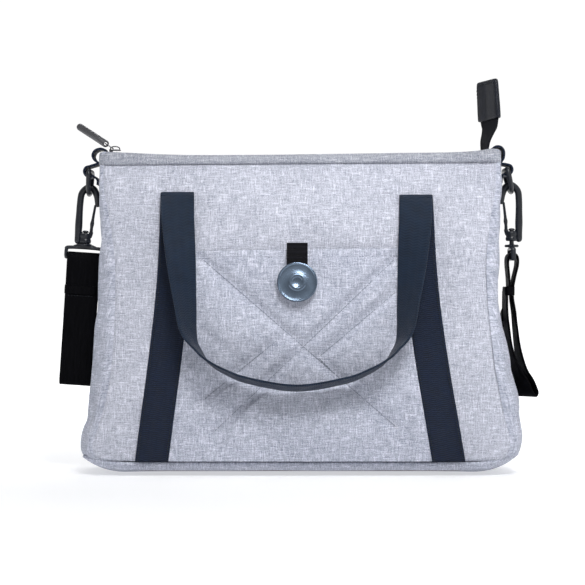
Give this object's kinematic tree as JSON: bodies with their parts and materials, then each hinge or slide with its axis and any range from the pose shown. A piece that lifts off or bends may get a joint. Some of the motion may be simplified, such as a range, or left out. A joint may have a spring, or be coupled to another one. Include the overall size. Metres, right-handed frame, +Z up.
{
  "type": "padded carry case",
  "caption": "Soft padded tote-style case with a zipped top, webbing handles, quilted front pocket, hanging medallion tab and clip-on shoulder strap.",
  "frame": {"origin": "centre of the flat underside that the case stands on", "axes": "+X to the right seen from the front, +Y to the back, +Z up"},
  "size_m": [0.4311, 0.2176, 0.3525],
  "materials": {
    "heather_light": "light heather-grey melange weave",
    "heather": "heather-grey melange weave",
    "webbing": "black twill webbing",
    "ribbon": "black ribbed grosgrain",
    "lining": "plain woven lining",
    "foam": "closed-cell foam sheet",
    "board": "stiff fibreboard",
    "zip_cloth": "woven zip tape",
    "nylon": "moulded nylon",
    "black_plastic": "satin black moulding",
    "gunmetal": "dark polished metal",
    "chrome": "bright polished plating",
    "leather": "smooth glossy black leather"
  },
  "bodies": {
    "root": {"front_panel": "heather_light", "back_panel": "heather", "front_foam": "foam", "back_foam": "foam", "front_band": "heather_light", "back_band": "heather", "gusset_left": "heather", "gusset_right": "heather", "base_panel": "heather", "base_board": "board", "lining": "lining", "front_pocket": "heather", "webbing_front_left": "webbing", "webbing_front_right": "webbing", "webbing_back_left": "webbing", "webbing_back_right": "webbing", "zip_tape_front": "zip_cloth", "zip_tape_back": "zip_cloth", "zip_coil_front": "nylon", "zip_coil_back": "nylon", "side_tab_left": "webbing", "side_tab_right": "webbing", "strap_back_run": "webbing"},
    "zip_slider": {"zip_slider": "gunmetal"},
    "zip_pull": {"zip_link": "gunmetal", "zip_pull": "gunmetal"},
    "zip_tail": {"zip_tail_tape": "zip_cloth", "zip_tail_tab": "leather"},
    "handle_front": {"handle_front": "webbing"},
    "handle_back": {"handle_back": "webbing"},
    "charm_ribbon": {"charm_ribbon": "ribbon"},
    "charm_medallion": {"charm_medallion": "chrome"},
    "ring_left": {"d_ring_left": "black_plastic"},
    "ring_right": {"d_ring_right": "black_plastic"},
    "hook_left": {"hook_left": "black_plastic"},
    "hook_right": {"hook_right": "black_plastic"},
    "gate_left": {"hook_gate_left": "black_plastic"},
    "gate_right": {"hook_gate_right": "black_plastic"},
    "strap_end_left": {"hook_base_left": "black_plastic", "strap_drop_left": "webbing", "strap_keeper_left": "nylon"},
    "strap_end_right": {"hook_base_right": "black_plastic", "strap_drop_right": "webbing", "strap_keeper_right": "nylon"},
    "strap_adjuster": {"strap_adjuster": "black_plastic"}
  },
  "joints": [
    {"name": "zip_slide", "type": "slide", "parent": "root", "child": "zip_slider", "axis": [1, 0, 0], "range_m": [0, 0.316]},
    {"name": "zip_pull_flip", "type": "hinge", "parent": "zip_slider", "child": "zip_pull", "pos_m": [-0.1682, 0, 0.2898], "axis": [0, 1, 0], "range_deg": [-12, 70]},
    {"name": "zip_tail_bend", "type": "hinge", "parent": "root", "child": "zip_tail", "pos_m": [0.1665, 0, 0.288], "axis": [0, 1, 0], "range_deg": [-8, 34], "stiffness_Nm_per_rad": 0.03},
    {"name": "handle_front_lift", "type": "hinge", "parent": "root", "child": "handle_front", "pos_m": [0, -0.0379, 0.249], "axis": [-1, 0, 0], "range_deg": [0, 160]},
    {"name": "handle_back_lift", "type": "hinge", "parent": "root", "child": "handle_back", "pos_m": [0, 0.0379, 0.249], "axis": [1, 0, 0], "range_deg": [0, 160]},
    {"name": "charm_ribbon_lift", "type": "hinge", "parent": "root", "child": "charm_ribbon", "pos_m": [-0.0022, -0.06466, 0.202], "axis": [-1, 0, 0], "range_deg": [0, 80]},
    {"name": "charm_tilt", "type": "hinge", "parent": "charm_ribbon", "child": "charm_medallion", "pos_m": [-0.0022, -0.06859, 0.18137], "axis": [-1, 0, 0], "range_deg": [0, 20]},
    {"name": "hook_left_hang", "type": "hinge", "parent": "ring_left", "child": "hook_left", "pos_m": [-0.18919, 0, 0.24834], "axis": [0, -1, 0], "range_deg": [0, 25]},
    {"name": "ring_left_swing", "type": "hinge", "parent": "root", "child": "ring_left", "pos_m": [-0.188, 0, 0.2683], "axis": [0, 1, 0], "range_deg": [0, 25]},
    {"name": "strap_left_swivel", "type": "hinge", "parent": "hook_left", "child": "strap_end_left", "pos_m": [-0.1926, 0, 0.2132], "axis": [0.0663, 0, 0.9978], "range_deg": [-20, 8]},
    {"name": "gate_left_press", "type": "hinge", "parent": "hook_left", "child": "gate_left", "pos_m": [-0.18741, 0, 0.21586], "axis": [0, -1, 0], "range_deg": [0, 20], "stiffness_Nm_per_rad": 0.02},
    {"name": "hook_right_hang", "type": "hinge", "parent": "ring_right", "child": "hook_right", "pos_m": [0.19041, 0, 0.25049], "axis": [0, 1, 0], "range_deg": [0, 25]},
    {"name": "ring_right_swing", "type": "hinge", "parent": "root", "child": "ring_right", "pos_m": [0.1856, 0, 0.2699], "axis": [0, -1, 0], "range_deg": [0, 25]},
    {"name": "strap_right_swivel", "type": "hinge", "parent": "hook_right", "child": "strap_end_right", "pos_m": [0.1909, 0, 0.2153], "axis": [0, 0, 1], "range_deg": [-30, 12]},
    {"name": "gate_right_press", "type": "hinge", "parent": "hook_right", "child": "gate_right", "pos_m": [0.1859, 0, 0.2183], "axis": [0, 1, 0], "range_deg": [0, 20], "stiffness_Nm_per_rad": 0.02},
    {"name": "strap_adjust", "type": "slide", "parent": "root", "child": "strap_adjuster", "axis": [-1, 0, 0], "range_m": [0, 0.06]}
  ],
  "couplings": [
    {"joint": "ring_left_swing", "follows": "hook_left_hang", "ratio": 1},
    {"joint": "ring_right_swing", "follows": "hook_right_hang", "ratio": 1}
  ]
}
